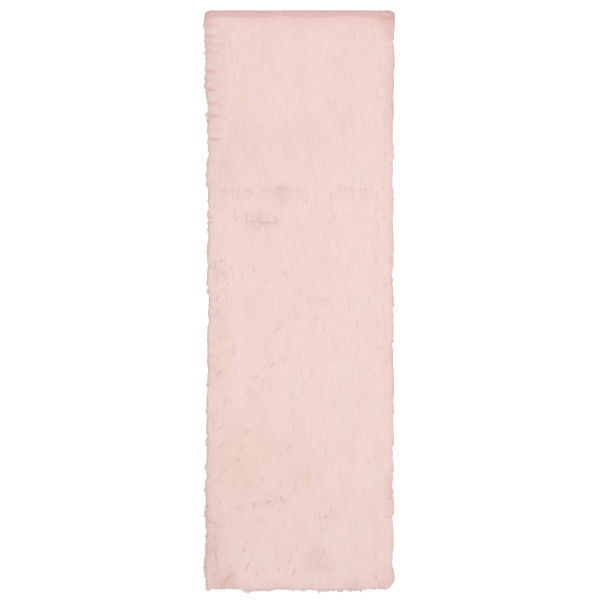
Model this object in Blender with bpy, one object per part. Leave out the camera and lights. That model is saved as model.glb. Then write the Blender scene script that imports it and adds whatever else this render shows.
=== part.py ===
"""Faux sheepskin runner: a long shaggy rug, combed from its head end to its foot.

Metres, +Z up. The rug lies flat on z = 0, its length along Y with the head end at +Y, and
its origin is on the floor under its middle. It is one solid: a lumpy slab of pile on its
ground cloth, with tapering locks of hair rooted round the sides and the foot.
"""

import math
import random
from collections import namedtuple

import bmesh
import bpy
from mathutils import Vector
from mathutils import noise
from mathutils.geometry import delaunay_2d_cdt

# Overall sizes, over the tips of the locks
LENGTH = 1.868
WIDTH = 0.612  # on average down the length: the sides bow a little
PILE = 0.031  # the combed pile lies this high on average

# The slab ends where the locks take root
SIDE_REACH = 0.013  # how far a side lock sticks out at most
FOOT_REACH = 0.028  # how far a foot lock sticks out at most
SLAB_WIDTH = WIDTH - 2 * SIDE_REACH
SLAB_LENGTH = LENGTH - FOOT_REACH
SLAB_SHIFT = FOOT_REACH / 2  # only the foot has long locks, so the slab lies off centre

# The sides aren't quite straight: they draw in between the head and the foot
LEFT_BOW = 0.010
RIGHT_BOW = 0.002

# The rounded shoulder, from the level top down to the rim
SHOULDER = 0.026  # from the rim in to the level top
RIM_HEIGHT = 0.019  # the locks' roots reach from the floor up to here

Ring = namedtuple("Ring", "inside height")
SHOULDER_RINGS = (
    Ring(inside=0.014, height=0.0290),
    Ring(inside=0.005, height=0.0250),
)

# Cells of the top, which also set the pitch of the locks
COLUMNS = 26
ROWS = 72
PLATE_PITCH = 0.12  # points inside the flat underside

# Lumps in the pile, long in the direction in which it is combed
LUMP_WIDTH = 0.055
LUMP_LENGTH = 0.150
LUMP_RISE = 0.0065
SWELL_WIDTH = 0.30
SWELL_LENGTH = 0.45
SWELL_RISE = 0.0025

# The left half near the foot lies tousled, its lumps shorter and higher
TOUSLE_START = 0.45
TOUSLE_FADE = 0.15
TOUSLE_EDGE = 0.20
TOUSLE_RISE = 0.0065
TOUSLE_LUMP = 0.070
TOUSLE_LEAN = 0.4

# A parting is a step across the pile: steep on its head side, with a long ramp below
PARTING_STEEP = 0.024
PARTING_RAMP = 0.085
PARTING_END = 0.035
PARTING_RAGGED = 0.012
PARTING_TOOTH = 0.030

Parting = namedtuple("Parting", "across along length depth")
PARTINGS = (
    Parting(across=-0.200, along=0.358, length=0.130, depth=0.0055),
    Parting(across=-0.040, along=0.350, length=0.110, depth=0.0045),
    Parting(across=0.170, along=0.355, length=0.110, depth=0.0045),
    Parting(across=-0.122, along=0.258, length=0.120, depth=0.0080),
    Parting(across=-0.262, along=0.124, length=0.045, depth=0.0060),
    Parting(across=-0.146, along=0.010, length=0.045, depth=0.0050),
    Parting(across=0.050, along=0.002, length=0.065, depth=0.0055),
    Parting(across=-0.096, along=-0.640, length=0.100, depth=0.0070),
    Parting(across=0.093, along=-0.692, length=0.075, depth=0.0060),
    Parting(across=0.058, along=-0.815, length=0.110, depth=0.0060),
    Parting(across=-0.222, along=-0.882, length=0.050, depth=0.0070),
    Parting(across=0.170, along=-0.888, length=0.060, depth=0.0065),
)

# Each rolling surface takes its own layer of noise
SWELLS = 2.0
LUMPS = 0.0
TOUSLES = 9.0
TEETH = 5.0

# Rim locks: four sides, in steps from root to tip
Step = namedtuple("Step", "reach height width")
LOCK_STEPS = (
    Step(reach=0.40, height=0.82, width=0.84),
    Step(reach=0.78, height=0.50, width=0.60),
    Step(reach=1.00, height=0.16, width=0.24),
)
LOCK_SHARE = (0.66, 0.78)  # a lock's root takes this share of its pitch
SHORTEST_LOCK = 0.60  # against the longest
COMB_AT_HEAD = 0.35  # how strongly the comb turns a lock towards the foot
COMB_AT_FOOT = 0.75
CURL = 0.12  # the extra turn from one step to the next
HEAD_CORNER = 0.1  # a root that faces the head by more than this grows no lock

FUR_COLOUR = (0.86, 0.64, 0.60, 1.0)
FUR_ROUGHNESS = 0.92
SEED = 11
FOOTWARDS = Vector((0.0, -1.0, 0.0))


def clear_scene():
    for item in list(bpy.data.objects):
        bpy.data.objects.remove(item, do_unlink=True)


def smooth(share):
    """0 to 1 with soft ends."""
    share = min(max(share, 0.0), 1.0)
    return share * share * (3 - 2 * share)


def down_the_rug(y):
    """0 at the head end, 1 at the foot."""
    return 0.5 - y / LENGTH


def side_edge(side, y):
    """How far from the middle line the slab's rim lies, side -1 on the left and 1 on the right."""
    bow = LEFT_BOW if side < 0 else RIGHT_BOW
    drawn_in = bow * (math.sin(math.pi * down_the_rug(y)) - 0.5)
    return side * (SLAB_WIDTH / 2 - drawn_in)


def rolling(across, along, layer):
    """Smooth noise between -1 and 1."""
    return noise.noise(Vector((across, along, layer)))


def parting_depth(parting, x, y):
    """How deep one parting is cut at a point of the top."""
    from_end = parting.length / 2 - abs(x - parting.across)
    ends = smooth(from_end / PARTING_END + 0.5)
    ragged = PARTING_RAGGED * rolling(x / PARTING_TOOTH, parting.along, TEETH)
    below = parting.along + ragged - y
    if below < 0:
        return parting.depth * ends * smooth(1 + below / PARTING_STEEP)
    return parting.depth * ends * (1 - smooth(below / PARTING_RAMP))


def tousled(x, y):
    """Short lumps that lie askew, on the left of the middle and below the rug's first half."""
    below = smooth((down_the_rug(y) - TOUSLE_START) / TOUSLE_FADE)
    leftwards = smooth(0.5 - x / TOUSLE_EDGE)
    across = (x + TOUSLE_LEAN * y) / LUMP_WIDTH
    along = (y - TOUSLE_LEAN * x) / TOUSLE_LUMP
    return TOUSLE_RISE * below * leftwards * rolling(across, along, TOUSLES)


def pile_height(x, y):
    """The top of the pile: swells, long combed lumps, tousled lumps and the partings."""
    swell = SWELL_RISE * rolling(x / SWELL_WIDTH, y / SWELL_LENGTH, SWELLS)
    lump = LUMP_RISE * rolling(x / LUMP_WIDTH, y / LUMP_LENGTH, LUMPS)
    hollow = max(parting_depth(parting, x, y) for parting in PARTINGS)
    return PILE + swell + lump + tousled(x, y) - hollow


def make_top(mesh):
    """The level top as a grid, stretched to the slab's outline less its shoulder."""
    bmesh.ops.create_grid(mesh, x_segments=COLUMNS, y_segments=ROWS, size=0.5)
    for vert in mesh.verts:
        y = SLAB_SHIFT + vert.co.y * (SLAB_LENGTH - 2 * SHOULDER)
        left = side_edge(-1, y) + SHOULDER
        right = side_edge(1, y) - SHOULDER
        x = left + (vert.co.x + 0.5) * (right - left)
        vert.co = Vector((x, y, pile_height(x, y)))


def border(mesh):
    """The grid's outer points in order, counterclockwise seen from above."""
    mesh.verts.ensure_lookup_table()
    wide = COLUMNS + 1
    foot = list(range(COLUMNS))
    right = [row * wide + COLUMNS for row in range(ROWS)]
    head = [ROWS * wide + column for column in range(COLUMNS, 0, -1)]
    left = [row * wide for row in range(ROWS, 0, -1)]
    return [mesh.verts[n] for n in foot + right + head + left]


def outward_at(points, index):
    """The level direction out of a counterclockwise loop at one of its points."""
    along = points[(index + 1) % len(points)] - points[index - 1]
    return Vector((along.y, -along.x, 0.0)).normalized()


def widened(points, out, height):
    """The loop moved outward, to a height that rises and falls with the pile beside it."""
    moved = []
    for n, point in enumerate(points):
        place = point + out * outward_at(points, n)
        place.z = height * (point.z / PILE) if height > RIM_HEIGHT else height
        moved.append(place)
    return moved


def split_at(points, shares):
    """A loop with one more point on each stretch, at that stretch's share of its length."""
    split = []
    for n, point in enumerate(points):
        split += [point, point.lerp(points[(n + 1) % len(points)], shares[n])]
    return split


def join_rings(mesh, upper, lower):
    """Quads from a loop down to the next, or fans of three where the lower is twice as fine."""
    fine = len(lower) // len(upper)
    for n, first in enumerate(upper):
        second = upper[(n + 1) % len(upper)]
        below = [lower[(n * fine + k) % len(lower)] for k in range(fine + 1)]
        if fine == 1:
            mesh.faces.new((first, below[0], below[1], second))
        else:
            mesh.faces.new((first, below[0], below[1]))
            mesh.faces.new((first, below[1], second))
            mesh.faces.new((second, below[1], below[2]))


def make_sides(mesh, chance):
    """The rounded shoulder and the upright rim; returns the rim's roots and its lowest loop."""
    top = border(mesh)
    level = [vert.co.copy() for vert in top]
    above = top
    for ring in SHOULDER_RINGS:
        points = widened(level, SHOULDER - ring.inside, ring.height)
        below = [mesh.verts.new(point) for point in points]
        join_rings(mesh, above, below)
        above = below
    shares = [chance.uniform(*LOCK_SHARE) for _ in level]
    rim = split_at(widened(level, SHOULDER, RIM_HEIGHT), shares)
    upper = [mesh.verts.new(point) for point in rim]
    join_rings(mesh, above, upper)
    lower = [mesh.verts.new((point.x, point.y, 0.0)) for point in rim]
    before = len(mesh.faces)
    join_rings(mesh, upper, lower)
    mesh.faces.ensure_lookup_table()
    roots = [mesh.faces[n] for n in range(before, len(mesh.faces), 2)]
    return roots, lower


def close_underside(mesh, loop):
    """Fills the flat underside with triangles over a sparse lattice of points."""
    points = [vert.co.xy for vert in loop]
    reach_x = min(abs(point.x) for point in points if abs(point.y) < LENGTH / 4)
    across = int(2 * reach_x / PLATE_PITCH)
    down = int(SLAB_LENGTH / PLATE_PITCH)
    for column in range(across):
        for row in range(down):
            x = (column - (across - 1) / 2) * PLATE_PITCH
            y = SLAB_SHIFT + (row - (down - 1) / 2) * PLATE_PITCH
            points.append(Vector((x, y)))
    sides = [(n, (n + 1) % len(loop)) for n in range(len(loop))]
    flat, _, triangles, _, _, _ = delaunay_2d_cdt(points, sides, [], 1, 1e-7)
    inner = [mesh.verts.new((point.x, point.y, 0.0)) for point in flat[len(loop):]]
    corners = loop + inner
    for a, b, c in triangles:
        mesh.faces.new((corners[c], corners[b], corners[a]))


def grow_lock(mesh, root, heading, reach):
    """Draws one lock out of its root in tapering steps, its underside on the floor."""
    foot = [vert.co.copy() for vert in root.verts if vert.co.z < RIM_HEIGHT / 2]
    middle = (foot[0] + foot[1]) / 2
    half = (foot[0] - foot[1]) / 2
    face = root
    before = 0.0
    for step in LOCK_STEPS:
        heading = (heading + CURL * FOOTWARDS).normalized()
        middle = middle + heading * reach * (step.reach - before)
        before = step.reach
        face = bmesh.ops.extrude_discrete_faces(mesh, faces=[face])["faces"][0]
        centre = face.calc_center_median()
        for vert in face.verts:
            way = 1 if (vert.co - centre).dot(half) > 0 else -1
            height = step.height * RIM_HEIGHT if vert.co.z > centre.z else 0.0
            vert.co = middle + way * step.width * half
            vert.co.z = height


def grow_locks(mesh, roots, chance):
    """Locks on the sides and the foot, turned more towards the foot the further down they are."""
    for root in roots:
        out = root.normal.copy()
        if out.y > HEAD_CORNER:
            continue
        footness = max(0.0, -out.y)
        comb = COMB_AT_HEAD + (COMB_AT_FOOT - COMB_AT_HEAD) * down_the_rug(root.verts[0].co.y)
        heading = (out + comb * FOOTWARDS).normalized()
        longest = SIDE_REACH + (FOOT_REACH - SIDE_REACH) * footness
        reach = longest * chance.uniform(SHORTEST_LOCK, 1.0)
        grow_lock(mesh, root, heading, reach / heading.dot(out))


def stand_on_origin(mesh):
    """Moves the mesh level, so that the middle of its footprint is at the origin."""
    for axis in (0, 1):
        reach = [vert.co[axis] for vert in mesh.verts]
        middle = (min(reach) + max(reach)) / 2
        for vert in mesh.verts:
            vert.co[axis] -= middle


def fur_material():
    material = bpy.data.materials.new("faux_fur")
    material.use_nodes = True
    shader = material.node_tree.nodes["Principled BSDF"]
    shader.inputs["Base Color"].default_value = FUR_COLOUR
    shader.inputs["Roughness"].default_value = FUR_ROUGHNESS
    shader.inputs["Metallic"].default_value = 0.0
    return material


def make_rug():
    chance = random.Random(SEED)
    mesh = bmesh.new()
    make_top(mesh)
    roots, lowest = make_sides(mesh, chance)
    close_underside(mesh, lowest)
    bmesh.ops.recalc_face_normals(mesh, faces=mesh.faces)
    grow_locks(mesh, roots, chance)
    bmesh.ops.triangulate(mesh, faces=mesh.faces)
    stand_on_origin(mesh)
    shape = bpy.data.meshes.new("faux_sheepskin")
    mesh.to_mesh(shape)
    mesh.free()
    shape.shade_smooth()
    shape.materials.append(fur_material())
    rug = bpy.data.objects.new("faux_sheepskin", shape)
    bpy.context.scene.collection.objects.link(rug)


clear_scene()
make_rug()
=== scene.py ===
# %% [markdown]
# # A faux sheepskin runner
# The real rug is one rectangle of knitted cloth with long acrylic hair knitted into it. The hair
# has been combed once from the head end to the foot, so it lies over like grass in a stream: it
# climbs the rounded edge at the head, runs down the length in overlapping locks, and falls over
# the sides and the foot to the floor.
#
# This lesson lays that hair on a fixed frame. The frame is one lumpy solid of the right size, and
# everything here takes its place from it: the cloth, the dense underfur, and the combed locks.

import math
from collections import namedtuple

import bmesh
import bpy
import numpy as np
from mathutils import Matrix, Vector
from mathutils.bvhtree import BVHTree
from mathutils.kdtree import KDTree


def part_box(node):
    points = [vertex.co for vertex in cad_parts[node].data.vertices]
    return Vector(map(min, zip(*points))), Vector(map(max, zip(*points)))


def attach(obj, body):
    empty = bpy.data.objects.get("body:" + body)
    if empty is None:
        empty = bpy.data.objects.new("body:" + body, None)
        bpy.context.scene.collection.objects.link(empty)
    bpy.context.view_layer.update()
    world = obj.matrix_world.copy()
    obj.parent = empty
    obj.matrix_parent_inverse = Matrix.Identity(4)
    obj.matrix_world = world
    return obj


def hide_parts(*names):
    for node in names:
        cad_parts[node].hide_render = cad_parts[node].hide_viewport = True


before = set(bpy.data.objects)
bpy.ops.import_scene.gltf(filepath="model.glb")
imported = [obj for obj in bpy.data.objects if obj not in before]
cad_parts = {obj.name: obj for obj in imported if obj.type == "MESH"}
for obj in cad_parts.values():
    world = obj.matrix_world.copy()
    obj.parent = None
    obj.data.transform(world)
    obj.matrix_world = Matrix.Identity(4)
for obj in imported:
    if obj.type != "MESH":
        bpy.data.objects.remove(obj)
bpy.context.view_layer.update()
SOLID = "faux_sheepskin"
low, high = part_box(SOLID)
print("the solid reaches from", tuple(low), "to", tuple(high))

# %% [markdown]
# ## How high the pile lies
# The solid already has the rug's swells, lumps and partings. A ray dropped on it from above reads
# its height, so the hair needs no second drawing of them. The readings are kept on a small map,
# and a soft blur takes out the solid's flat facets.

# %% Read the solid's height on a map
MAP_STEP = 0.0025  # one reading of every map each 2.5 mm
MAP_MARGIN = 0.02  # the maps reach this far past the solid
SHOULDER_CLEAR = 0.045  # the level top starts this far in from the solid's sides
across_map = np.arange(low.x - MAP_MARGIN, high.x + MAP_MARGIN, MAP_STEP)
along_map = np.arange(low.y - MAP_MARGIN, high.y + MAP_MARGIN, MAP_STEP)
map_x, map_y = np.meshgrid(across_map, along_map, indexing="ij")


def read_solid(step):
    """The solid's height on a coarse map, read inside its shoulder and carried out level."""
    mesh = bpy.data.objects[SOLID].data
    points = [vert.co for vert in mesh.vertices]
    faces = [tuple(face.vertices) for face in mesh.polygons]
    tree = BVHTree.FromPolygons(points, faces)
    inner_x = np.clip(across_map[::step], low.x + SHOULDER_CLEAR, high.x - SHOULDER_CLEAR)
    inner_y = np.clip(along_map[::step], low.y + SHOULDER_CLEAR, high.y - SHOULDER_CLEAR)
    down = Vector((0, 0, -1))
    rows = [[tree.ray_cast(Vector((x, y, 1)), down)[0].z for y in inner_y] for x in inner_x]
    return np.array(rows)


def blurred(field, times):
    """Each reading shares with its neighbours, as many times as asked."""
    for _ in range(times):
        wide = np.pad(field, 1, mode="edge")
        field = (wide[:-2, 1:-1] + wide[2:, 1:-1] + wide[1:-1, :-2] + wide[1:-1, 2:]) / 4
    return field


def sample(field, x, y):
    """A map's value at any place, blended from its four nearest readings."""
    u = np.clip((x - across_map[0]) / MAP_STEP, 0, field.shape[0] - 1.001)
    v = np.clip((y - along_map[0]) / MAP_STEP, 0, field.shape[1] - 1.001)
    i, j = u.astype(int), v.astype(int)
    f, g = u - i, v - j
    near = field[i, j] * (1 - f) + field[i + 1, j] * f
    far = field[i, j + 1] * (1 - f) + field[i + 1, j + 1] * f
    return near * (1 - g) + far * g


COARSE = 4  # a ray at every fourth place of the map is enough
COARSE_BLUR = 3
FINE_BLUR = 12
coarse = blurred(read_solid(COARSE), COARSE_BLUR)
pile_top = np.repeat(np.repeat(coarse, COARSE, 0), COARSE, 1)
pile_top = blurred(pile_top[: map_x.shape[0], : map_x.shape[1]], FINE_BLUR)
print(f"the pile lies {pile_top.min() * 1000:.0f} to {pile_top.max() * 1000:.0f} mm high")

# %% [markdown]
# ## Soft noise
# Combed hair is even, but never the same twice. Most of what varies here, such as the direction
# of the comb or the line of an edge, comes from one helper: smooth noise in cells of a given
# width and length. Long cells along the rug give the streaks of combed hair.

# %% Soft noise
NOISE_CELLS = 256


def smooth(share):
    """0 to 1 with soft ends."""
    share = np.clip(share, 0, 1)
    return share * share * (3 - 2 * share)


def rolling(x, y, wide, long, layer):
    """Smooth noise between -1 and 1, in cells of wide by long metres."""
    cells = np.random.default_rng(layer).uniform(-1, 1, (NOISE_CELLS, NOISE_CELLS))
    u, v = x / wide + NOISE_CELLS / 2, y / long + NOISE_CELLS / 2
    i, j = np.floor(u).astype(int), np.floor(v).astype(int)
    f, g = smooth(u - i), smooth(v - j)
    i, j = i % NOISE_CELLS, j % NOISE_CELLS
    k, m = (i + 1) % NOISE_CELLS, (j + 1) % NOISE_CELLS
    near = cells[i, j] * (1 - f) + cells[k, j] * f
    far = cells[i, m] * (1 - f) + cells[k, m] * f
    return near * (1 - g) + far * g


def wavy(place, cell, layer):
    """The same noise along one line, in cells of one length."""
    return rolling(place, 0 * place, cell, 1, layer)


# %% [markdown]
# ## The outline and the rounded edges
# The rug is a long rectangle with small round corners. Its left side draws in a little in the
# middle, and the hair makes its sides and foot ragged. From the outline inward the surface of the
# hair rises like a quarter of an ellipse, steeply at the head end, where the hair stands up out
# of the cloth's edge, and more softly at the sides and foot, where it falls over.

# %% Distance in from the outline
LEFT = low.x + 0.0070  # the outline lies a little inside the tips of the solid's locks
RIGHT = high.x - 0.0075
HEAD = high.y - 0.0044
FOOT = low.y + 0.0058
Corners = namedtuple("Corners", "head_left head_right foot_left foot_right")
CORNERS = Corners(head_left=0.018, head_right=0.014, foot_left=0.012, foot_right=0.030)
CORNER_FADE = 0.03  # round a corner a side turns into an end over this distance
LEFT_BOW = 0.010  # the left side draws in by this much
RIGHT_FLARE = 0.0035  # the right side widens by this much close to the head
FLARE_FROM, FLARE_OVER = 0.84, 0.05  # it starts this far up the rug, over this distance
middle_y = (HEAD + FOOT) / 2


def side_lines(y):
    """Where the left and right outlines lie at a place down the rug."""
    share = np.clip((HEAD - y) / (HEAD - FOOT), 0, 1)
    left = LEFT + LEFT_BOW * (np.sin(np.pi * share ** 0.85) - 0.55)
    left += 0.0026 * wavy(y, 0.050, 11) + 0.0018 * wavy(y, 0.014, 12)
    right = RIGHT + 0.0024 * wavy(y, 0.055, 13) + RIGHT_FLARE * smooth((y - FLARE_FROM) / FLARE_OVER)
    right += 0.0010 * wavy(y, 0.016, 14)
    return left, right


def inside(x, y):
    """Distance in from the outline, and how far a place belongs to a side or to the head."""
    left, right = side_lines(y)
    foot = FOOT + 0.0030 * wavy(x, 0.026, 15)
    on_left = x < (left + right) / 2
    head_corner = np.where(on_left, CORNERS.head_left, CORNERS.head_right)
    foot_corner = np.where(on_left, CORNERS.foot_left, CORNERS.foot_right)
    corner = np.where(y > middle_y, head_corner, foot_corner)
    out_x = np.abs(x - (left + right) / 2) - (right - left) / 2 + corner
    out_y = np.abs(y - (HEAD + foot) / 2) - (HEAD - foot) / 2 + corner
    round_part = np.hypot(np.maximum(out_x, 0), np.maximum(out_y, 0))
    depth = corner - round_part - np.minimum(np.maximum(out_x, out_y), 0)
    side_share = smooth(0.5 + (out_x - out_y) / CORNER_FADE)
    head_share = (1 - side_share) * (y > middle_y)
    return depth, side_share, head_share


edge_depth, side_share, head_share = inside(map_x, map_y)
print("the outline holds", round(float((edge_depth > 0).sum() * MAP_STEP ** 2), 3), "square metres")

# %% [markdown]
# ## Partings
# Where the hair has been pushed up against the comb, it parts in a line across the rug. Above
# the line the locks end in a jagged edge of tips; below it the pile starts low and rises again.
# Each parting is a row in a short table. As in all the tables here, a row starts with how far
# across the rug and how far up it the middle lies. Then come its length, how deep the step is
# and, where the line isn't level, how it slants.

# %% Partings
Parting = namedtuple("Parting", "across along length depth slant", defaults=(0.0,))
partings = (
    Parting(-0.252, 0.352, length=0.034, depth=0.0026),
    Parting(-0.205, 0.351, length=0.028, depth=0.0028),
    Parting(-0.165, 0.352, length=0.028, depth=0.0028),
    Parting(-0.110, 0.354, length=0.028, depth=0.0028, slant=0.05),
    Parting(-0.054, 0.357, length=0.042, depth=0.0037, slant=0.05),
    Parting(0.000, 0.354, length=0.024, depth=0.0022),
    Parting(0.143, 0.354, length=0.062, depth=0.0028, slant=0.04),
    Parting(0.207, 0.357, length=0.030, depth=0.0025),
    Parting(-0.120, 0.252, length=0.116, depth=0.0043, slant=-0.05),
    Parting(-0.262, 0.124, length=0.045, depth=0.0031, slant=0.30),
    Parting(-0.146, 0.010, length=0.045, depth=0.0025, slant=0.10),
    Parting(0.050, 0.004, length=0.050, depth=0.0022, slant=-0.15),
    Parting(-0.100, -0.644, length=0.110, depth=0.0031, slant=0.10),
    Parting(0.093, -0.690, length=0.070, depth=0.0034),
    Parting(-0.120, -0.700, length=0.050, depth=0.0022, slant=0.05),
    Parting(-0.262, -0.722, length=0.050, depth=0.0031, slant=-0.10),
    Parting(0.070, -0.854, length=0.080, depth=0.0025, slant=-0.12),
    Parting(-0.292, -0.898, length=0.030, depth=0.0028),
)
PARTING_RAMP = 0.032  # below the line the pile rises again over this distance
PARTING_STEEP = 0.004  # above it the step falls within this distance
PARTING_FADE = 0.016  # at its ends a parting fades out
TOOTH = 0.008  # how long the teeth of its jagged line are


def parting_line(parting, x):
    """How far up the rug a parting's jagged line lies."""
    line = parting.along + parting.slant * (x - parting.across)
    line += 0.0020 * wavy(x, 0.030, 21)
    return line + 0.0024 * wavy(x, TOOTH, 22)


def parting_reach(parting, x):
    """1 along a parting, fading to 0 past its ends."""
    return smooth(0.5 + (parting.length / 2 - np.abs(x - parting.across)) / PARTING_FADE)


step_down = np.zeros_like(map_x)
for parting in partings:
    below = parting_line(parting, map_x) - map_y
    falls, rises = smooth(1 + below / PARTING_STEEP), 1 - smooth(below / PARTING_RAMP)
    profile = np.where(below < 0, falls, rises)
    step_down = np.maximum(step_down, parting.depth * parting_reach(parting, map_x) * profile)
print(len(partings), "partings, up to", round(float(step_down.max()) * 1000, 1), "mm deep")

# %% [markdown]
# ## Painted shade at the partings and the head end
# Hair in shade, deep in the pile, is painted darker and more pink, as the colour of a lock's root
# part. Mostly the tips of the locks above cover that part, but the painted shade lies in a thin
# line just below each parting, and in a band along the head end, where the hair lies back over
# the edge. A map says how unshaded each place is: 0 takes the full painted shade of the roots,
# and 1 shows only tips.

# %% Where painted shade falls
# The strip below a parting and the band at the head end are painted shade: a darker, pinker colour stands
# in for the shade there. The deepest partings get the darkest of it.
PARTING_SHADE_STRIP = 0.0085  # how wide a strip shows below a parting
PARTING_DARK = 0.0029  # a parting this deep shows the very roots
PARTING_SHARP = 0.002  # how sharply the strip starts at the line
HEAD_SHADE_BAND = 0.0320  # how wide the band at the head end is
UNSHADED_AT_BAND = 0.37  # just past the band the tips cover this much
UNSHADED_RISE = 0.22  # and this far down the rug would take it from 0 to 1
LEAST_UNSHADED = 0.2  # nowhere but in partings and clefts is it less


def head_shade_band(x):
    """How wide the painted shade band at the head end is: wavy, and wider at both corners."""
    wave = 0.0025 * np.cos(2 * np.pi * (x - 0.045) / 0.215)
    at_left, at_right = smooth((-x - 0.255) / 0.030), smooth((x - 0.225) / 0.040)
    return HEAD_SHADE_BAND + wave + 0.005 * at_left + 0.006 * at_right


# Painted shade: the band at the head end, and a slow rise out of it.
past_shade_band = HEAD - map_y - head_shade_band(map_x)
unshaded = np.clip(UNSHADED_AT_BAND + past_shade_band / UNSHADED_RISE, LEAST_UNSHADED, 1)
# Painted shade in a strip just below each parting.
for parting in partings:
    below = parting_line(parting, map_x) - map_y
    in_shade = smooth(1 + below / PARTING_SHARP) * smooth(1 - below / PARTING_SHADE_STRIP)
    in_shade = in_shade * parting_reach(parting, map_x)
    unshaded = np.minimum(unshaded, 1 - in_shade * parting.depth / PARTING_DARK)
print(f"the band at the head is {HEAD_SHADE_BAND * 1000:.0f} mm wide in the middle")

# %% [markdown]
# ## Clefts at the left border
# Near the head the hair on the left lies straight out over the side, gathered into tufts like
# the hairs of wet brushes. Between one tuft and the next there is a cleft: a thin wedge, widest
# at the side, in which the hair beneath lies in shade, painted in as a darker colour. Two more
# lie far down near the foot. A cleft fades out at the very outline, so that the fringe stays whole.

# %% Clefts at the left border
Cleft = namedtuple("Cleft", "along reach strength")
clefts = (
    Cleft(0.878, reach=0.060, strength=0.9),
    Cleft(0.843, reach=0.044, strength=1.0),
    Cleft(0.820, reach=0.056, strength=0.9),
    Cleft(0.794, reach=0.040, strength=0.9),
    Cleft(0.765, reach=0.070, strength=0.4),
    Cleft(0.732, reach=0.050, strength=1.0),
    Cleft(0.689, reach=0.060, strength=0.6),
    Cleft(0.672, reach=0.050, strength=1.0),
    Cleft(0.628, reach=0.046, strength=0.9),
    Cleft(0.588, reach=0.050, strength=1.0),
    Cleft(0.546, reach=0.056, strength=0.7),
    Cleft(0.515, reach=0.050, strength=1.0),
    Cleft(-0.706, reach=0.054, strength=0.8),
    Cleft(-0.764, reach=0.050, strength=0.5),
)
CLEFT_HALF = 0.0095  # half its width at the side
CLEFT_DEPTH = 0.0036
CLEFT_SLANT = -0.15  # clefts lean down the rug as they run in
# The clefts' painted shade: how much of it the strongest get.
CLEFT_SHADE = 0.86  # how bare of tips the strongest are
CLEFT_FADE = 0.010  # they fade out over this distance at the outline
left_line, right_line = side_lines(map_y)
from_left, from_right = map_x - left_line, right_line - map_x
for cleft in clefts:
    bend = cleft.along + CLEFT_SLANT * from_left + 0.003 * wavy(map_x, 0.020, 23)
    half = CLEFT_HALF * np.clip(1.1 - from_left / cleft.reach, 0.01, 1)
    cut = cleft.strength * smooth(1.5 - np.abs(map_y - bend) / half)
    cut = cut * (from_left < cleft.reach * 1.1) * smooth((from_left + 0.003) / CLEFT_FADE)
    step_down = np.maximum(step_down, CLEFT_DEPTH * cut)
    # Painted shade in the cleft.
    unshaded = np.minimum(unshaded, 1 - CLEFT_SHADE * cut)
print(len(clefts), "clefts at the left border")

# %% [markdown]
# ## The surface of the combed hair
# The lumps, the rounded edges and the partings come together in one map of heights, and the
# locks lie along it. A second map is the surface of the hair beneath. It is the same in the
# middle of the rug, but slopes down to the floor inside the outline, where the fringe hangs.

# %% The hair's surface
SIDE_ROUND = 0.036
FOOT_ROUND = 0.042
HEAD_ROUND = 0.024
ROUNDNESS = 2.3  # 2 would make the edge a true quarter of an ellipse
INNER_SLOPE = 0.014  # the hair beneath reaches the floor over this distance
rounding = SIDE_ROUND * side_share + HEAD_ROUND * head_share
rounding += FOOT_ROUND * (1 - side_share - head_share)
rise = np.clip(edge_depth / rounding, 0, 1)
shoulder = (1 - (1 - rise) ** ROUNDNESS) ** (1 / ROUNDNESS)
ripples = 0.0010 * rolling(map_x, map_y, 0.020, 0.070, 31)
ripples += 0.0012 * rolling(map_x, map_y, 0.045, 0.160, 32)
calm_top = (pile_top + ripples) * shoulder
hair_top = calm_top - step_down * shoulder
inner_top = hair_top * smooth((edge_depth + 0.001) / INNER_SLOPE)


def facing_map(field, steepest):
    """Which way a map of heights faces at every reading, its steepest parts eased."""
    slope_x, slope_y = (np.clip(part, -steepest, steepest) for part in np.gradient(field, MAP_STEP))
    facing = np.stack([-slope_x, -slope_y, np.ones_like(slope_x)], -1)
    return facing / np.linalg.norm(facing, axis=-1, keepdims=True)


HEAD_SOFTEST = 0.50  # the steepest that hair seems to face: its edges let light through
SIDE_SOFTEST = 0.21
FOOT_SOFTEST = 0.11
FACING_BLUR = 4
softest = SIDE_SOFTEST * side_share + HEAD_SOFTEST * head_share
softest += FOOT_SOFTEST * (1 - side_share - head_share)
hair_faces = facing_map(blurred(calm_top, FACING_BLUR), softest)
print(f"the hair's surface rises to {hair_top.max() * 1000:.1f} mm")

# %% [markdown]
# ## The direction of the comb
# One angle at every place says which way the hair points: 0 is straight down the rug, and a
# positive angle turns towards the right. It wavers a few degrees everywhere, turns outward at the
# sides, where the hair falls over the edge, fans out strongly at the left near the head, and lies
# tousled, mostly down to the left, on the left of the foot half.

# %% The comb's angle on a map
LEFT_TURN, FAN_TURN, RIGHT_TURN, TOUSLE_TURN = 38, 40, 30, 16  # in degrees
LEFT_REACH, FAN_REACH, RIGHT_REACH = 0.040, 0.028, 0.038  # how far in from the sides it turns
HEAD_STRAIGHT = 0.035  # out of the head end's edge the hair runs straight
from_head = smooth((HEAD - map_y) / HEAD_STRAIGHT)
up_rug = smooth((map_y - 0.40) / 0.12)
down_rug = smooth((-0.02 - map_y) / 0.25)

waver = 5 * rolling(map_x, map_y, 0.070, 0.220, 41) + 4 * rolling(map_x, map_y, 0.022, 0.080, 42)
left_turn = LEFT_TURN + FAN_TURN * up_rug + 12 * wavy(map_y, 0.035, 43)
left_turn = left_turn * smooth(1.1 - from_left / (LEFT_REACH + FAN_REACH * up_rug)) * from_head
right_turn = RIGHT_TURN + 10 * wavy(map_y, 0.050, 44)
right_turn = right_turn * smooth(1 - from_right / RIGHT_REACH) * from_head
tousle = TOUSLE_TURN + 26 * rolling(map_x + 0.5 * map_y, map_y, 0.050, 0.110, 45)
tousle = down_rug * smooth((0.06 - map_x) / 0.12) * tousle
comb_angle = np.radians(waver + right_turn - left_turn - tousle)
print("the comb turns from", *(round(math.degrees(a)) for a in (comb_angle.min(), comb_angle.max())))
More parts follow.
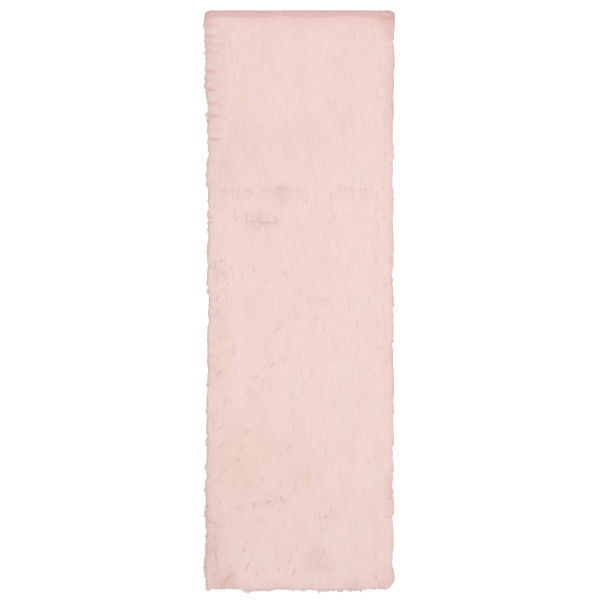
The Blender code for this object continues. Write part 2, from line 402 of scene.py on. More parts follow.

# %% [markdown]
# ## Tones and painted shade
# The hair is one colour, but where it has been handled it looks a little yellower, and in places
# it is a little greyer. The pink tone is painted shade: where hair lies in shade, at the rims, at
# the corners and by the head end, it is painted darker and pinker. A table holds these soft oval
# patches, and gentle noise is added. The three tones are kept on maps, and every point of a lock
# takes its own from them.

# %% Tones on the maps
Patch = namedtuple("Patch", "across along wide long pink yellow grey", defaults=(0.0, 0.0, 0.0))
patches = (
    Patch(-0.285, 0.660, wide=0.085, long=0.330, pink=0.30),
    Patch(-0.300, 0.900, wide=0.045, long=0.050, pink=0.40),
    Patch(0.275, 0.890, wide=0.045, long=0.065, pink=0.80),
    Patch(0.283, 0.848, wide=0.026, long=0.026, pink=0.90),
    Patch(0.292, 0.650, wide=0.034, long=0.260, pink=0.50, yellow=0.2),
    Patch(0.292, -0.175, wide=0.022, long=0.050, pink=0.45),
    Patch(0.290, -0.605, wide=0.036, long=0.090, pink=0.70),
    Patch(0.292, 0.125, wide=0.020, long=0.030, pink=0.70),
    Patch(0.292, 0.150, wide=0.022, long=0.420, yellow=0.5),
    Patch(-0.180, 0.500, wide=0.110, long=0.260, pink=0.25, grey=0.1),
    Patch(0.000, 0.500, wide=0.220, long=0.120, pink=0.05, grey=0.5),
    Patch(-0.185, 0.655, wide=0.030, long=0.050, yellow=1.0),
    Patch(-0.240, 0.400, wide=0.080, long=0.080, pink=0.15, yellow=0.6),
    Patch(-0.060, 0.340, wide=0.060, long=0.070, pink=0.35, yellow=0.5),
    Patch(-0.120, 0.268, wide=0.070, long=0.025, pink=0.45, yellow=0.3),
    Patch(-0.250, -0.170, wide=0.080, long=0.170, yellow=1.0),
    Patch(-0.180, -0.500, wide=0.170, long=0.240, pink=0.15, yellow=0.9, grey=0.1),
    Patch(-0.180, -0.700, wide=0.080, long=0.120, pink=0.10, yellow=0.6),
    Patch(0.010, -0.570, wide=0.060, long=0.070, pink=0.15, yellow=0.7),
    Patch(-0.280, -0.790, wide=0.085, long=0.270, pink=0.55, yellow=0.3),
    Patch(-0.235, -0.900, wide=0.060, long=0.045, pink=0.80),
    Patch(0.000, -0.900, wide=0.340, long=0.110, pink=0.02),
    Patch(0.165, -0.920, wide=0.055, long=0.045, pink=0.80, yellow=0.2),
    Patch(0.270, -0.900, wide=0.035, long=0.040, pink=0.40),
    Patch(0.050, -0.835, wide=0.075, long=0.060, pink=0.10, yellow=0.5, grey=1.3),
)
# The pink tone is painted shade.
tones = {
    "pink": 0.06 + 0.10 * rolling(map_x, map_y, 0.050, 0.080, 51),
    "yellow": 0.08 + 0.16 * rolling(map_x, map_y, 0.090, 0.120, 53),
    "grey": 0.05 + 0.10 * rolling(map_x, map_y, 0.060, 0.120, 54),
}
tones["pink"] += 0.05 * rolling(map_x, map_y, 0.140, 0.200, 52)
for patch in patches:
    away = np.hypot((map_x - patch.across) / patch.wide, (map_y - patch.along) / patch.long)
    for name, field in tones.items():
        field += getattr(patch, name) * smooth(1 - away)
print(len(patches), "soft patches of tone")

# %% [markdown]
# ## The ground cloth
# The cloth under the pile is cut as a plain rectangle with rounded corners, and lies flat on the
# floor. A grid of faces is squeezed to that outline and drawn down to a thickness of 2 mm with
# one extrude. It is a true sheet.

# %% Helpers for making a piece
def finish_piece(obj, slot, *replaced):
    """Every piece rides on the frame's one body, and may stand for a solid. The slot is not used."""
    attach(obj, "root")
    if replaced:
        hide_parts(*replaced)
    return obj


def mesh_piece(name, bm, smooth_faces=True):
    """Turns a bmesh into an object in the scene."""
    mesh = bpy.data.meshes.new(name)
    bm.to_mesh(mesh)
    bm.free()
    if smooth_faces:
        mesh.shade_smooth()
    obj = bpy.data.objects.new(name, mesh)
    bpy.context.scene.collection.objects.link(obj)
    return obj


# %% Helpers for a closed plate
NUMBERING = 1_000_000  # more than any plate has points


def own_number(part):
    """A number that no other edge or face of a plate has, from its first and last points."""
    numbers = [vert.index for vert in part.verts]
    return min(numbers) * NUMBERING + max(numbers)


def plate(columns, rows, bottom, top_at, outline_at):
    """A closed plate: a grid pressed into an outline, drawn down flat to the bottom."""
    bm = bmesh.new()
    bmesh.ops.create_grid(bm, x_segments=columns, y_segments=rows, size=0.5)
    grid = np.array([vert.co.xy for vert in bm.verts])
    x, y = outline_at(grid[:, 0], grid[:, 1])
    z = top_at(x, y)
    for vert, place in zip(bm.verts, zip(x, y, z)):
        vert.co = place
    drawn = bmesh.ops.extrude_face_region(bm, geom=bm.faces[:])["geom"]
    for vert in (item for item in drawn if isinstance(item, bmesh.types.BMVert)):
        vert.co.z = bottom
    underside = [item for item in drawn if isinstance(item, bmesh.types.BMFace)]
    bmesh.ops.dissolve_faces(bm, faces=underside, use_verts=True)
    bmesh.ops.recalc_face_normals(bm, faces=bm.faces)
    bm.verts.index_update()
    for parts in (bm.edges, bm.faces):
        parts.sort(key=own_number)  # the extrude leaves them in another order each time
    return bm


def round_rectangle(u, v, size, middle, corner):
    """Squeezes a unit grid into a rectangle whose corners are round."""
    x, y = u * size[0], v * size[1]
    over_x = np.maximum(np.abs(x) - size[0] / 2 + corner, 0)
    over_y = np.maximum(np.abs(y) - size[1] / 2 + corner, 0)
    reach = np.hypot(over_x, over_y)
    pull = np.where(reach > corner, corner / np.maximum(reach, 1e-9), 1)
    x -= np.sign(x) * over_x * (1 - pull)
    y -= np.sign(y) * over_y * (1 - pull)
    return x + middle[0], y + middle[1]


# %% The ground cloth
CLOTH_IN = 0.0125  # the hair hangs this far past the cloth at the sides
CLOTH_FOOT_IN = 0.030
CLOTH_HEAD_IN = 0.006
CLOTH_THICK = 0.0020
CLOTH_CORNER = 0.015
CLOTH_GRID = (24, 72)
cloth_left, cloth_right = LEFT + CLOTH_IN, RIGHT - CLOTH_IN
cloth_foot, cloth_head = FOOT + CLOTH_FOOT_IN, HEAD - CLOTH_HEAD_IN
cloth_size = (cloth_right - cloth_left, cloth_head - cloth_foot)
cloth_middle = ((cloth_left + cloth_right) / 2, (cloth_head + cloth_foot) / 2)
cloth_mesh = plate(
    *CLOTH_GRID, 0.0,
    lambda x, y: CLOTH_THICK + 0 * x,
    lambda u, v: round_rectangle(u, v, cloth_size, cloth_middle, CLOTH_CORNER),
)
ground_cloth = finish_piece(mesh_piece("ground_cloth", cloth_mesh), "faux_fur")
print(f"ground cloth cut to {cloth_size[0]:.3f} by {cloth_size[1]:.3f} m")

# %% [markdown]
# ## The underfur
# Short dense hair fills the pile under the long locks. It can't be seen hair by hair, so it is
# one closed lumpy body. It follows the hair's surface just beneath it, so that nothing looks
# hollow between the locks, and slopes to the floor near the outline. It stands for the frame's
# solid.

# %% The underfur
UNDER = 0.0007  # how far under the hair's surface
UNDER_IN = 0.0050
UNDER_SHIFT = 0.002  # up the rug and to the right, as the fringe is longest at the foot and left
UNDER_CORNER = 0.020
UNDER_GRID = (110, 330)
OVER_CLOTH = 0.0003
LEAST_THICK = 0.0010


def under_outline(u, v):
    """The underfur's outline, a little inside that of the hair."""
    size = (RIGHT - LEFT - 2 * UNDER_IN, HEAD - FOOT - 2 * UNDER_IN - UNDER_SHIFT)
    middle = ((LEFT + RIGHT) / 2 + UNDER_SHIFT, (HEAD + FOOT) / 2 + UNDER_SHIFT)
    return round_rectangle(u, v, size, middle, UNDER_CORNER)


def under_top(x, y):
    """The underfur's height."""
    return np.maximum(sample(inner_top, x, y) - UNDER, CLOTH_THICK + LEAST_THICK)


under_plate = plate(*UNDER_GRID, CLOTH_THICK + OVER_CLOTH, under_top, under_outline)
underfur = mesh_piece("underfur", under_plate)
finish_piece(underfur, "faux_fur", SOLID)
under_points = np.array([vert.co.xy for vert in underfur.data.vertices])
# The underfur takes the same painted shade as the locks above it.
under_shade = underfur.data.attributes.new("along", "FLOAT", "POINT")
under_shade.data.foreach_set("value", sample(unshaded, *under_points.T))
print("underfur has", len(underfur.data.polygons), "faces")

# %% [markdown]
# ## Where each lock takes root
# Roots lie on a slightly shaken grid, closer together round the edge, where the hair has more
# surface to cover. They are closest at the head end, where the hair stands up and lies back.

# %% Helpers for roots
def shaken_grid(step_x, step_y, chance, margin=0.0):
    """Points on a grid over the whole rug, each moved at random within its cell."""
    x = np.arange(LEFT - 0.01, RIGHT + 0.01, step_x)
    y = np.arange(FOOT - 0.01, HEAD + 0.01, step_y)
    x, y = (part.ravel() for part in np.meshgrid(x, y))
    x = x + chance.uniform(-0.5, 0.5, x.size) * step_x
    y = y + chance.uniform(-0.5, 0.5, y.size) * step_y
    keep = sample(edge_depth, x, y) > margin
    return np.stack([x[keep], y[keep]], 1)


def edge_roots(step, band, chance):
    """Extra roots in a band just inside the outline."""
    points = shaken_grid(step, step, chance, 0.001)
    return points[sample(edge_depth, *points.T) < band]


def head_row(count, chance):
    """The hair at the very edge of the cloth at the head end, which stands up and lies back."""
    x = np.linspace(LEFT + 0.010, RIGHT - 0.010, count) + chance.uniform(-0.001, 0.001, count)
    return np.stack([x, HEAD - chance.uniform(0.0003, 0.0030, count)], 1)


CORNER_GRID = 0.0018
CORNER_ACROSS, CORNER_ALONG = 0.016, 0.034  # how far the corners' extra hair reaches
CORNER_BAND = 0.0035


def corner_roots(chance):
    """The same hair round both corners of the head end and a little way down the sides."""
    points = shaken_grid(CORNER_GRID, CORNER_GRID, chance, 0.0003)
    near = (points[:, 1] > HEAD - CORNER_ALONG) & (sample(edge_depth, *points.T) < CORNER_BAND)
    from_middle = np.abs(points[:, 0] - (LEFT + RIGHT) / 2)
    return points[near & (from_middle > (RIGHT - LEFT) / 2 - CORNER_ACROSS)]


# %% [markdown]
# ## Roots, tufts and staples
# Locks gather into tufts, and tufts into wider staples, as on a fleece. Every lock knows the tuft
# and the staple it is in, and its tip is drawn towards their own lines, which leaves small gaps
# between one and the next. The clefts at the upper left lie between staples. All that is left
# to chance comes from one generator with a fixed seed, so the rug is the same each time.

# %% Roots, tufts and staples
chance = np.random.default_rng(7)
HEAD_LOCKS = 1400
FIELD_GRID = (0.0052, 0.0060)
FIELD_MARGIN = 0.0025
RIM_GRID = 0.0040
RIM_BAND = 0.026
RIM_DEEP = 0.065  # locks rooted nearer to the outline than this get more points for the bend
TUFT_GRID = (0.013, 0.034)
STAPLE_GRID = (0.036, 0.090)
TUFT_PINCH = 0.40  # how far a tip is drawn to its tuft's line
STAPLE_PINCH, CLEFT_PINCH = 0.30, 0.60  # the same for staples, and how much more at the clefts
CLEFTS_FROM, CLEFTS_OVER = 0.46, 0.06  # the clefts start this far up the rug
CLEFTS_IN, CLEFTS_DEEP = 0.02, 0.04  # and reach this far in from the left side
BORDER_IN = 0.034  # how far in the staples between the clefts stand
everywhere = shaken_grid(*FIELD_GRID, chance, FIELD_MARGIN)
near_edge = sample(edge_depth, *everywhere.T) < RIM_DEEP
field_roots = everywhere[~near_edge]
rim_roots = [everywhere[near_edge], edge_roots(RIM_GRID, RIM_BAND, chance)]
rim_roots = np.concatenate([*rim_roots, head_row(HEAD_LOCKS, chance), corner_roots(chance)])
tufts = shaken_grid(*TUFT_GRID, chance)
staples = shaken_grid(*STAPLE_GRID, chance)


def upper_left(points):
    """1 at the left border near the head, fading to 0 elsewhere."""
    left, _ = side_lines(points[:, 1])
    up = smooth((points[:, 1] - CLEFTS_FROM) / CLEFTS_OVER)
    return up * smooth(1 - (points[:, 0] - left - CLEFTS_IN) / CLEFTS_DEEP)


cleft_y = np.array([cleft.along for cleft in clefts if cleft.along > 0])
between = (cleft_y[1:] + cleft_y[:-1]) / 2
border_staples = np.stack([LEFT + BORDER_IN + 0 * between, between], 1)
staples = np.concatenate([staples[upper_left(staples) < 0.3], border_staples])
staple_pinch = STAPLE_PINCH + CLEFT_PINCH * upper_left(staples)
print(len(field_roots) + len(rim_roots), "roots,", len(tufts), "tufts and", len(staples), "staples")

# %% [markdown]
# ## Drawing a lock over the surface
# A lock starts at its root and walks in short steps along the comb's direction. On a slope it
# takes a shorter step across and spends the rest going up or down, so its length stays true. It
# stops where it would pass the outline by more than a few millimetres, and a lock that meets a
# parting from above ends near it, some a little short of it and some just past it.

# %% Walk down the comb
STEPS = 18
STEEPEST = 4  # no slope counts as steeper than this


def slope_along(x, y, heading):
    """How steeply the hair's surface rises along a heading."""
    ahead = 0.002
    rise = sample(hair_top, x + heading[:, 0] * ahead, y + heading[:, 1] * ahead)
    return np.clip((rise - sample(hair_top, x, y)) / ahead, -STEEPEST, STEEPEST)


def walk(starts, lengths, lean):
    """The level path of each hair, as STEPS + 1 points."""
    place = starts.copy()
    path = [place]
    for _ in range(STEPS):
        angle = sample(comb_angle, place[:, 0], place[:, 1]) + lean
        heading = np.stack([np.sin(angle), -np.cos(angle)], 1)
        slope = slope_along(place[:, 0], place[:, 1], heading)
        stride = lengths / STEPS / np.sqrt(1 + slope ** 2)
        place = place + heading * stride[:, None]
        path.append(place)
    return np.stack(path, 1)


# %% End a path at a parting or at the outline
PARTING_STOPS = 0.97  # this share of the locks that meet a parting end there
STUB_ENDS = (-0.006, 0.002)  # they end this far past the parting's line
SHORTEST_STUB = 0.012


def end_at_partings(starts, lengths, chance):
    """Shortens the locks that would cross a parting from above."""
    lengths = lengths.copy()
    for parting in partings:
        ahead = starts[:, 1] - parting_line(parting, starts[:, 0])
        crossing = starts[:, 0] + np.sin(sample(comb_angle, *starts.T)) * ahead
        meets = (ahead > 0) & (ahead < lengths)
        meets &= chance.uniform(0, 1, len(starts)) < parting_reach(parting, crossing) * PARTING_STOPS
        stub = np.maximum(ahead + chance.uniform(*STUB_ENDS, len(starts)), SHORTEST_STUB)
        lengths = np.where(meets, np.minimum(lengths, stub), lengths)
    return lengths


def share_before_edge(path, overhang):
    """The share of each path that lies inside the outline or no more than its overhang past it."""
    depth = sample(edge_depth, path[:, :, 0], path[:, :, 1])
    out = depth < -overhang[:, None]
    first = np.where(out.any(1), out.argmax(1), STEPS)
    return first / STEPS


def along_path(path, share):
    """The points at given shares (one row a hair) of each path."""
    at = np.clip(share * STEPS, 0, STEPS - 1e-6)
    i = at.astype(int)
    f = (at - i)[:, :, None]
    row = np.arange(len(path))[:, None]
    return path[row, i] * (1 - f) + path[row, i + 1] * f


# %% [markdown]
# ## From paths to locks
# A lock is a thin tapering body with three sides: two that meet in a soft ridge on top, and a
# flat underside. It comes up out of the underfur, widens, and runs out to a point. More than
# forty thousand of them would be slow one by one, so the corners of all of them are worked out
# together as arrays. The way that each corner seems to face is kept too: soft hair lets light
# through, so it is shaded as part of the pile's surface and not as a hard little blade.

# %% The corners of many locks at once
RING_SHARES = {3: np.array([0.0, 0.38, 0.74, 1.0]), 4: np.array([0.0, 0.26, 0.52, 0.80, 1.0])}
WIDEST_AT = ([0.0, 0.35, 0.70, 0.85, 1.0], [0.60, 1.0, 0.85, 0.60, 0.0])
RIDGE, BELLY = 0.25, 0.7  # the ridge's height by half the width, and the underside's by the ridge
SOFT_TILT = 0.15  # how far a lock's edges seem to turn away from the light
SIDES = 3


def lock_widths(shares):
    """A lock's width along its length: slim at the root, full past the middle, then tapering."""
    return np.interp(shares, *WIDEST_AT)


def unit(vectors):
    """The same directions, one long."""
    return vectors / (np.linalg.norm(vectors, axis=-1, keepdims=True) + 1e-12)


def lock_bodies(centre, normal, half_width, roll, widths):
    """Every lock's corner points, three to a ring and one at the tip, and the way each faces."""
    tangent = unit(np.gradient(centre, axis=1))
    side = unit(np.cross(normal, tangent))
    upward = np.cross(tangent, side)
    cos, sin = np.cos(roll)[:, None, None], np.sin(roll)[:, None, None]
    side, upward = side * cos + upward * sin, upward * cos - side * sin
    rings = centre[:, :-1]
    half = (half_width[:, None] * widths[None, :-1])[:, :, None]
    wide, thick = side[:, :-1] * half, upward[:, :-1] * RIDGE * half
    corners = [rings - wide - BELLY * thick, rings + wide - BELLY * thick, rings + thick]
    corners = np.stack(corners, 2)
    corners = corners.reshape(len(centre), -1, 3)
    tilt = SOFT_TILT * side[:, :-1]
    facing = np.stack([normal[:, :-1] - tilt, normal[:, :-1] + tilt, normal[:, :-1]], 2)
    facing = unit(facing.reshape(len(centre), -1, 3))
    corners = np.concatenate([corners, centre[:, -1:]], 1)
    facing = np.concatenate([facing, normal[:, -1:]], 1)
    return corners, facing


# %% [markdown]
# ## Joining the locks
# All locks of a kind have the same faces, so these are worked out once and repeated. The locks
# are then joined into one mesh for each stretch of the rug. The mesh has a flat map, on which
# each lock has a small square of its own, and each point remembers what the finish needs, such
# as how far along its lock it is.

# %% The faces and the flat map of a lock
def lock_faces(rings):
    """The triangles of one lock, all facing outward."""
    faces = [(0, 2, 1)]
    for ring in range(rings - 1):
        for side in range(SIDES):
            a = ring * SIDES + side
            b = ring * SIDES + (side + 1) % SIDES
            faces += [(a, b, b + SIDES), (a, b + SIDES, a + SIDES)]
    last = (rings - 1) * SIDES
    tip = rings * SIDES
    faces += [(last + side, last + (side + 1) % SIDES, tip) for side in range(SIDES)]
    return np.array(faces)


def lock_map(rings):
    """Where each corner of one lock's faces lies in the lock's own square of the flat map."""
    faces = lock_faces(rings)
    ring_of = np.minimum(faces // SIDES, rings)
    across = (faces % SIDES) / SIDES
    wraps = (across.max(1) - across.min(1) > 0.5)[:, None] & (across < 0.2)
    across = np.where(wraps, 1.0, across)
    tip = faces == rings * SIDES
    across = np.where(tip, np.sort(across, 1)[:, 1:2], across)
    return np.stack([across, ring_of / rings], -1)


# %% Join many locks into one mesh
SQUARE_MARGIN, SQUARE_FILL = 0.12, 0.76  # where a lock lies in its square of the flat map


def soft_normals(mesh, facing, faces):
    """The tops of the locks face softly outward; their undersides keep their own direction."""
    count, per_lock = facing.shape[:2]
    normals = facing.reshape(-1, 3)[faces.reshape(-1)].reshape(count, -1, 3, 3)
    firsts = [1 + 2 * SIDES * ring for ring in range((per_lock - 1) // SIDES - 1)]
    beneath = [0, *firsts, *(first + 1 for first in firsts), normals.shape[1] - SIDES]
    normals[:, beneath] = 0  # a zero normal leaves a corner to face as its own flat side does
    mesh.normals_split_custom_set(normals.reshape(-1, 3))


def joined_locks(name, corners, facing, memory):
    """One mesh of many locks, with its flat map and what each point remembers."""
    count, per_lock = corners.shape[:2]
    rings = (per_lock - 1) // SIDES
    faces = lock_faces(rings)[None] + (np.arange(count) * per_lock)[:, None, None]
    mesh = bpy.data.meshes.new(name)
    mesh.from_pydata(corners.reshape(-1, 3), [], faces.reshape(-1, 3))
    mesh.shade_smooth()
    soft_normals(mesh, facing, faces)
    cells = math.ceil(math.sqrt(count))
    corner = np.stack([np.arange(count) % cells, np.arange(count) // cells], 1)
    flat = (corner[:, None, None] + SQUARE_MARGIN + SQUARE_FILL * lock_map(rings)[None]) / cells
    mesh.uv_layers.new(name="OFBake").data.foreach_set("uv", flat.ravel())
    for remembered, values in memory.items():
        mesh.attributes.new(remembered, "FLOAT", "POINT").data.foreach_set("value", values.ravel())
    obj = bpy.data.objects.new(name, mesh)
    bpy.context.scene.collection.objects.link(obj)
    return obj


# %% [markdown]
# ## Combing the locks
# Each path is walked, cut where it would reach too far past the outline, and then gathered: its
# far end is drawn towards the path of its staple, and again towards that of its tuft. How far a
# lock may reach differs from tuft to tuft. That makes the fringe ragged, most of all at the foot
# and least on the right, while the head end stays neat.

# %% How far a lock may reach
LOCK_LENGTH = (0.046, 0.074)
SHORTEST = 0.010
TUFT_ROUGH, LOCK_ROUGH = 0.0026, 0.0030  # how unevenly tufts and single locks reach out
FOOT_ROUGHER, RIGHT_CALMER = 1.5, 0.3
HEAD_NEAT = 0.001  # at the head end all locks may reach just this far
REACH_BACK, LEAST_REACH = 0.0012, -0.0045


def rough_reach(points, owner, chance):
    """How far past the outline each lock may go: by tufts, and more ragged at the left and foot."""
    by_foot, by_head = points[:, 1] < FOOT + 0.09, points[:, 1] > HEAD - 0.036
    by_tuft = chance.normal(0, TUFT_ROUGH, len(tufts))[owner] * np.where(by_foot, FOOT_ROUGHER, 1.0)
    calm = (points[:, 0] > 0) & ~by_foot
    by_lock = chance.normal(0, LOCK_ROUGH, len(points)) * np.where(calm, RIGHT_CALMER, 1.0)
    return np.where(by_head, HEAD_NEAT, np.maximum(by_tuft + by_lock, LEAST_REACH) - REACH_BACK)


def owners(points, centres):
    """The nearest centre to each point."""
    tree = KDTree(len(centres))
    for n, centre in enumerate(centres):
        tree.insert((*centre, 0), n)
    tree.balance()
    return np.array([tree.find((*point, 0))[1] for point in points])


# %% Gather the paths into staples and tufts
CENTRE_LEAN, LOCK_LEAN = math.radians(3.5), math.radians(4)  # how far they stray from the comb
GATHER_LATE = 1.5  # above 1, a path bends to its tuft more towards its tip
LEAST_MIX = 0.35  # how far even the weakest pinch turns a tip along its tuft
GATHER_PAST = 0.002  # a gathered tip may reach this much further out


def gather(path, lengths, owner, centres, pinch, chance):
    """Draws each path's far end towards the path of the centre that owns it."""
    lean = chance.normal(0, CENTRE_LEAN, len(centres))
    owned = np.maximum(np.bincount(owner, None, len(centres)), 1)
    own_length = np.bincount(owner, lengths, len(centres)) / owned
    own_path = walk(centres, own_length + 0.001, lean)[owner]
    offset = path[:, 0] - centres[owner]
    heading = unit(own_path[:, -1] - own_path[:, 0])
    sideways = np.stack([-heading[:, 1], heading[:, 0]], 1)
    aside = (offset * sideways).sum(1)[:, None, None] * sideways[:, None, :]
    share = np.linspace(0, 1, STEPS + 1)[None, :, None] ** GATHER_LATE
    strength = pinch[owner][:, None, None]
    drawn = own_path + offset[:, None, :] - aside * share * strength
    mix = share * np.clip(LEAST_MIX + strength, 0, 1)
    return path * (1 - mix) + drawn * mix


def combed_paths(points, chance):
    """The locks' level paths, cut to the outline and gathered into staples and tufts."""
    owner, staple = owners(points, tufts), owners(points, staples)
    lean = chance.normal(0, LOCK_LEAN, len(points))
    lengths = end_at_partings(points, chance.uniform(*LOCK_LENGTH, len(points)), chance)
    reach = rough_reach(points, owner, chance)
    lengths = lengths * share_before_edge(walk(points, lengths, lean), reach)
    path = walk(points, lengths, lean)
    path = gather(path, lengths, staple, staples, staple_pinch, chance)
    path = gather(path, lengths, owner, tufts, np.full(len(tufts), TUFT_PINCH), chance)
    share = share_before_edge(path, reach + GATHER_PAST)
    keep = share * lengths > SHORTEST
    return path[keep], owner[keep], share[keep]


# %% [markdown]
# ## Laying a lock on the surface
# A lock's middle line follows its path over the surface of the hair. The root starts some
# millimetres down in the pile, and the tip dips a little, so that it lies against the locks
# below it. At the head end the hair stands up out of the cloth's edge instead: its roots lie
# outside, at different heights, and it runs up over the rounded edge.

# %% Lay a lock on the surface
LOCK_HALF_WIDTH = (0.0013, 0.0027)
ROOT_DEPTH = 0.0075
EMERGE = ([0.0, 0.38, 1.0], [1.0, 0.05, 0.0])  # how much of that depth is left along a lock
LOCK_LAYER, TUFT_LAYER = (-0.0003, 0.0005), 0.0002  # no two lie at quite the same height
TIP_DIP = (-0.0018, -0.0006)
HEAD_EDGE = 0.010  # hair rooted this close to the head end stands up
HEAD_FROM, HEAD_OVER = 0.040, 0.015  # and so it does this far down the corners
HEAD_DIP = 0.0015  # the tips of standing hair dip more
HEAD_ROOTS = (0.0, 0.012)  # how much lower its roots start
LEAST_MIDDLE, LEAST_HEIGHT = 0.0012, 0.0004  # nothing goes into the floor


def facing_at(x, y):
    """Which way the surface of the hair faces."""
    return unit(np.stack([sample(hair_faces[:, :, axis], x, y) for axis in range(3)], -1))


def standing_share(x, y):
    """1 for hair that is rooted at the very edge of the head end, fading to 0 further in."""
    at_end = np.maximum(sample(head_share, x, y), smooth((y - HEAD + HEAD_FROM) / HEAD_OVER))
    return smooth(1 - sample(edge_depth, x, y) / HEAD_EDGE) * at_end


def lock_centres(path, owner, share, shares, chance, top):
    """The middle line of every lock, laid on a surface of the hair."""
    count = len(path)
    level = along_path(path, shares[None, :] * share[:, None])
    x, y = level[:, :, 0], level[:, :, 1]
    normal = facing_at(x, y)
    layer = chance.uniform(*LOCK_LAYER, count) + chance.normal(0, TUFT_LAYER, len(tufts))[owner]
    standing = standing_share(x[:, 0], y[:, 0])
    lift = layer[:, None] - ROOT_DEPTH * (1 - standing)[:, None] * np.interp(shares, *EMERGE)[None]
    lift = lift + chance.uniform(*TIP_DIP, count)[:, None] * (shares > 0.99)[None]
    lift = lift - HEAD_DIP * standing[:, None] * (shares > 0.7)[None]
    centre = np.stack([x, y, sample(top, x, y)], -1) + normal * lift[:, :, None]
    centre[:, 0, 2] -= standing * chance.uniform(*HEAD_ROOTS, count)
    centre[:, :, 2] = np.maximum(centre[:, :, 2], LEAST_MIDDLE)
    return centre, normal


# %% [markdown]
# ## What a lock remembers
# The finish needs to know, at every point of a lock, how far along the lock it is and how far
# past the painted shade band at the head end, and which tones it has. Where painted shade falls,
# the value for "along" is held low, which keeps the whole strip dark.

# %% What a lock remembers, and growing locks
# The deep colour near a lock's root is painted shade, and it ends well before the tip.
ALONG_GAIN = 1.35  # the root's tone ends well before the tip
ALONG_SPREAD, SHADE_BAND_SPREAD = 0.06, 0.0015  # how much single locks differ
OWN_SHADE = 0.5  # how much of its shade a lock has of its own: the rest is its tuft's
ROLL = math.radians(8)


def per_corner(values):
    """One value a ring, given to each of the ring's corners and to the tip."""
    return np.concatenate([np.repeat(values[:, :-1], SIDES, 1), values[:, -1:]], 1)


def lock_memory(centre, owner, shares, chance):
    """What each corner remembers: place along it, held low by painted shade, across it, and tones."""
    count, rings = len(centre), len(shares) - 1
    x, y = centre[:, :, 0], centre[:, :, 1]
    # Painted shade holds the place along a lock low.
    unshaded_here = sample(unshaded, x, y) + chance.uniform(-ALONG_SPREAD, ALONG_SPREAD, count)[:, None]
    along = np.minimum(np.clip(shares * ALONG_GAIN, 0, 1)[None], np.clip(unshaded_here, 0, 1))
    shade = OWN_SHADE * chance.uniform(0, 1, count)
    shade = shade + (1 - OWN_SHADE) * chance.uniform(0, 1, len(tufts))[owner]
    uneven = chance.uniform(-SHADE_BAND_SPREAD, SHADE_BAND_SPREAD, count)[:, None]
    by_ring = {"along": along, "shade": shade[:, None] + 0 * x}
    by_ring["past_shade_band"] = HEAD - y - head_shade_band(x) + uneven
    for name, field in tones.items():
        by_ring[name] = sample(field, x, y)
    memory = {name: per_corner(values) for name, values in by_ring.items()}
    across = np.concatenate([np.tile([-1.0, 1.0, 0.0], rings), [0.0]])
    memory["across"] = across[None] + np.zeros((count, 1))
    return memory


def grow(points, rings, chance, paths=combed_paths, top=hair_top):
    """All the locks' corner points, which way they face, and what each point remembers."""
    path, owner, share = paths(points, chance)
    shares = RING_SHARES[rings]
    centre, normal = lock_centres(path, owner, share, shares, chance, top)
    half_width = chance.uniform(*LOCK_HALF_WIDTH, len(path))
    roll = chance.normal(0, ROLL, len(path))
    corners, facing = lock_bodies(centre, normal, half_width, roll, lock_widths(shares))
    corners[:, :, 2] = np.maximum(corners[:, :, 2], LEAST_HEIGHT)
    return corners, facing, lock_memory(centre, owner, shares, chance)


# %% [markdown]
# ## Hair that hangs to the floor
# Where the top locks end short of the floor there must be more hair behind them. A row of locks
# rooted a little way in from the sides and the foot hangs down on the inner slope of the pile.

# %% Hair that hangs to the floor
HANGING_GRID = 0.0045
HANGING_FROM = (0.012, 0.019)  # how far in these locks take root
HANGING_SHORT = 0.0035  # they end this far inside the outline
HANGING_LEAN = math.radians(6)
NOT_AT_HEAD = 0.020


def hanging_roots(chance):
    """Roots in a narrow band along the sides and the foot."""
    points = shaken_grid(HANGING_GRID, HANGING_GRID, chance, HANGING_FROM[0])
    depth = sample(edge_depth, *points.T)
    return points[(depth < HANGING_FROM[1]) & (points[:, 1] < HEAD - NOT_AT_HEAD)]


def hanging_paths(points, chance):
    """Level paths that run straight out to the outline."""
    lean = chance.normal(0, HANGING_LEAN, len(points))
    lengths = chance.uniform(*LOCK_LENGTH, len(points))
    short = np.full(len(points), -HANGING_SHORT)
    lengths = lengths * share_before_edge(walk(points, lengths, lean), short)
    keep = lengths > SHORTEST
    path = walk(points[keep], lengths[keep], lean[keep])
    return path, owners(points[keep], tufts), np.ones(len(path))
